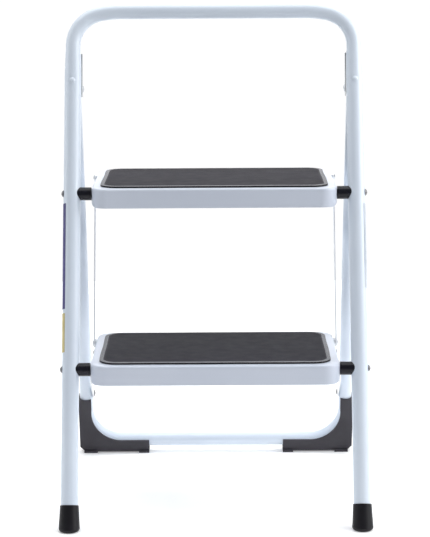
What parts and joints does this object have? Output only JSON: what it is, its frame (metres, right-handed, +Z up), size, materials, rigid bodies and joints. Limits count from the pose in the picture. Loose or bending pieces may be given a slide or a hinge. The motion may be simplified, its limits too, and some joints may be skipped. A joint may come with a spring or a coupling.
{
  "type": "step stool",
  "caption": "Folding steel step stool with flanged treads, ribbed mats, a tubular handle hoop and a hinged rear frame with corner shoes.",
  "frame": {"origin": "on the floor, under the middle of the overall box of the open stool", "axes": "+X to the user's right when facing the stool from behind the front feet, +Y from the front feet to the rear feet, +Z up"},
  "size_m": [0.4536, 0.4468, 0.7395],
  "materials": {
    "powder_coat": "satin bluish-white powder coat",
    "zinc": "bright zinc plate",
    "shoe_plastic": "fine matt grain",
    "foot_rubber": "satin moulded rubber",
    "mat_rubber": "ribbed rubber with a grey border",
    "bush_plastic": "glossy black",
    "label_film_violet": "blank film",
    "label_film_yellow": "blank film",
    "label_film_pale": "blank film"
  },
  "bodies": {
    "front_frame": {"front_leg_left": "powder_coat", "front_leg_right": "powder_coat", "handle_hoop": "powder_coat", "bracket_rivets": "powder_coat", "front_foot_left": "foot_rubber", "front_foot_right": "foot_rubber", "hinge_bracket_left": "zinc", "hinge_bracket_right": "zinc", "hinge_pin_left": "zinc", "hinge_pin_right": "zinc", "pivot_bolts": "zinc", "pivot_nuts": "zinc", "spacer_upper_left": "bush_plastic", "spacer_upper_right": "bush_plastic", "spacer_lower_left": "bush_plastic", "spacer_lower_right": "bush_plastic", "label_left_upper": "label_film_violet", "label_left_lower": "label_film_yellow", "label_right": "label_film_pale"},
    "lower_step": {"lower_tread": "powder_coat", "lower_mat": "mat_rubber", "lower_link_rivets": "zinc", "lower_link_washers": "zinc", "stay_studs": "zinc"},
    "upper_step": {"upper_tread": "powder_coat", "upper_mat": "mat_rubber", "upper_link_rivets": "zinc", "upper_link_washers": "zinc"},
    "rear_support": {"rear_frame": "powder_coat", "rear_shoe_left": "shoe_plastic", "rear_shoe_right": "shoe_plastic", "stay_rivets": "zinc"},
    "link_left": {"link_bar_left": "powder_coat"},
    "link_right": {"link_bar_right": "powder_coat"},
    "stay_left": {"stay_bar_left": "powder_coat", "stay_cap_left": "zinc"},
    "stay_right": {"stay_bar_right": "powder_coat", "stay_cap_right": "zinc"}
  },
  "joints": [
    {"name": "lower_step_fold", "type": "hinge", "parent": "front_frame", "child": "lower_step", "pos_m": [0, -0.12893, 0.219], "axis": [1, 0, 0], "range_deg": [0, 64]},
    {"name": "upper_step_fold", "type": "hinge", "parent": "front_frame", "child": "upper_step", "pos_m": [0, -0.03939, 0.465], "axis": [1, 0, 0], "range_deg": [0, 64]},
    {"name": "rear_frame_fold", "type": "hinge", "parent": "front_frame", "child": "rear_support", "pos_m": [0, 0.04214, 0.613], "axis": [-1, 0, 0], "range_deg": [0, 34.76]},
    {"name": "link_left_pivot", "type": "hinge", "parent": "lower_step", "child": "link_left", "pos_m": [-0.187, 0.04307, 0.219], "axis": [-1, 0, 0], "range_deg": [0, 64]},
    {"name": "stay_left_pivot", "type": "hinge", "parent": "rear_support", "child": "stay_left", "pos_m": [-0.1989, 0.18208, 0.105], "axis": [-1, 0, 0], "range_deg": [0, 40.63]},
    {"name": "link_right_pivot", "type": "hinge", "parent": "lower_step", "child": "link_right", "pos_m": [0.187, 0.04307, 0.219], "axis": [-1, 0, 0], "range_deg": [0, 64]},
    {"name": "stay_right_pivot", "type": "hinge", "parent": "rear_support", "child": "stay_right", "pos_m": [0.1989, 0.18208, 0.105], "axis": [-1, 0, 0], "range_deg": [0, 40.63]}
  ],
  "couplings": [
    {"joint": "upper_step_fold", "follows": "lower_step_fold", "ratio": 1},
    {"joint": "rear_frame_fold", "follows": "lower_step_fold", "ratio": 0.54312},
    {"joint": "link_left_pivot", "follows": "lower_step_fold", "ratio": 1},
    {"joint": "stay_left_pivot", "follows": "lower_step_fold", "ratio": 0.63474},
    {"joint": "link_right_pivot", "follows": "lower_step_fold", "ratio": 1},
    {"joint": "stay_right_pivot", "follows": "lower_step_fold", "ratio": 0.63474}
  ]
}
